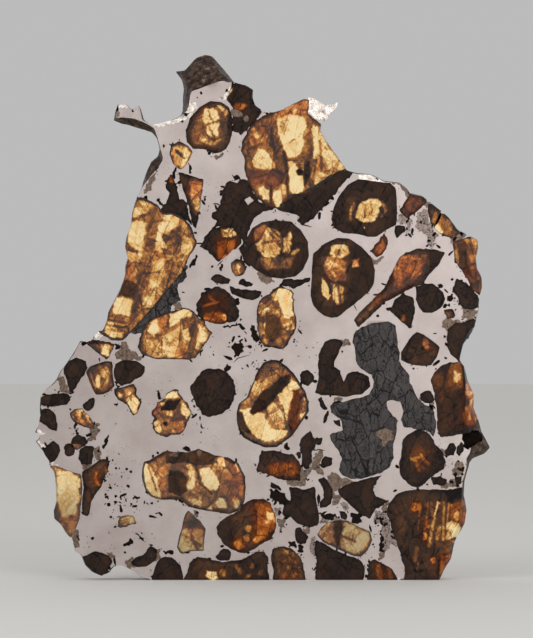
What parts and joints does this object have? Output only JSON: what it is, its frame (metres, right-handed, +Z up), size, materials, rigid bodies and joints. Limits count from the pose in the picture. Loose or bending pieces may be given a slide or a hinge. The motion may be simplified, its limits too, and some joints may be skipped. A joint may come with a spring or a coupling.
{
  "type": "pallasite meteorite slice",
  "caption": "Thin polished slice of stony-iron meteorite: a nickel-iron network with olivine crystals set in it, sawn flat at its foot to stand upright for display.",
  "frame": {"origin": "under the middle of the slice, on the plane of its sawn foot", "axes": "+Z up from the sawn foot, along the slice's longest side; +X to the right across the polished front face; +Y from the front face to the rear face, through the thickness"},
  "size_m": [0.1146, 0.007, 0.1319],
  "materials": {
    "nickel_iron": "ground and polished to a satin, unetched",
    "olivine_clear": "polished gem-like crystal, amber to cream where light comes through",
    "olivine_dark": "polished crystal, dark brown over a closed pocket",
    "troilite": "polished, cracked and dull metallic charcoal"
  },
  "bodies": {
    "root": {"metal_matrix": "nickel_iron", "olivine_great_top": "olivine_clear", "olivine_great_left": "olivine_clear", "olivine_great_centre": "olivine_clear", "olivine_great_lower_left": "olivine_clear", "olivine_gold_hexagon_left": "olivine_clear", "olivine_gold_flank_left": "olivine_clear", "olivine_great_lower_centre": "olivine_clear", "olivine_gold_lower_right": "olivine_clear", "olivine_fractured_centre": "olivine_clear", "olivine_ring_centre": "olivine_clear", "olivine_ring_right": "olivine_clear", "olivine_round_top_left": "olivine_clear", "olivine_brown_flank_right": "olivine_clear", "olivine_great_foot_right": "olivine_clear", "olivine_red_lens": "olivine_clear", "olivine_gold_flank_right": "olivine_clear", "olivine_brown_centre_right": "olivine_clear", "olivine_amber_left": "olivine_clear", "olivine_tail_left": "olivine_clear", "olivine_amber_lower_left": "olivine_clear", "olivine_brown_grain_left": "olivine_clear", "olivine_amber_grain_top_left": "olivine_clear", "olivine_red_shard_top_left": "olivine_clear", "olivine_amber_fleck_left": "olivine_clear", "olivine_red_brown_centre_left": "olivine_clear", "olivine_little_ring": "olivine_clear", "olivine_amber_flank_upper_right": "olivine_clear", "olivine_red_grain_upper_right": "olivine_clear", "olivine_gold_foot_centre": "olivine_clear", "olivine_brown_hexagon_centre": "olivine_clear", "olivine_brown_wedge_left": "olivine_clear", "olivine_glowing_dark_lower_right": "olivine_clear", "olivine_brown_lozenge": "olivine_clear", "olivine_brown_foot_left": "olivine_clear", "olivine_brown_foot_right": "olivine_clear", "olivine_rusty_quarter_right": "olivine_clear", "olivine_dark_crest": "olivine_dark", "olivine_dark_strip_top": "olivine_dark", "olivine_dark_mass_left": "olivine_dark", "olivine_brown_shard_top_left": "olivine_dark", "olivine_dark_round_centre": "olivine_dark", "olivine_dark_upper_left": "olivine_dark", "olivine_dark_oval_left": "olivine_dark", "olivine_dark_flank_upper_left": "olivine_dark", "olivine_dark_flank_middle_left": "olivine_dark", "olivine_dark_flank_lower_left": "olivine_dark", "olivine_dark_foot_far_left": "olivine_dark", "olivine_dark_foot_second_left": "olivine_dark", "olivine_dark_block_lower_centre": "olivine_dark", "olivine_dark_foot_centre": "olivine_dark", "olivine_red_brown_lower_right": "olivine_dark", "olivine_dark_shard_lower_centre": "olivine_dark", "olivine_dark_branch_centre_right": "olivine_dark", "olivine_dark_kite_right": "olivine_dark", "olivine_dark_heptagon_right": "olivine_dark", "olivine_dark_flank_upper_right": "olivine_dark", "olivine_dark_flank_middle_right": "olivine_dark", "troilite_mass": "troilite", "troilite_band_left": "troilite"}
  },
  "joints": []
}
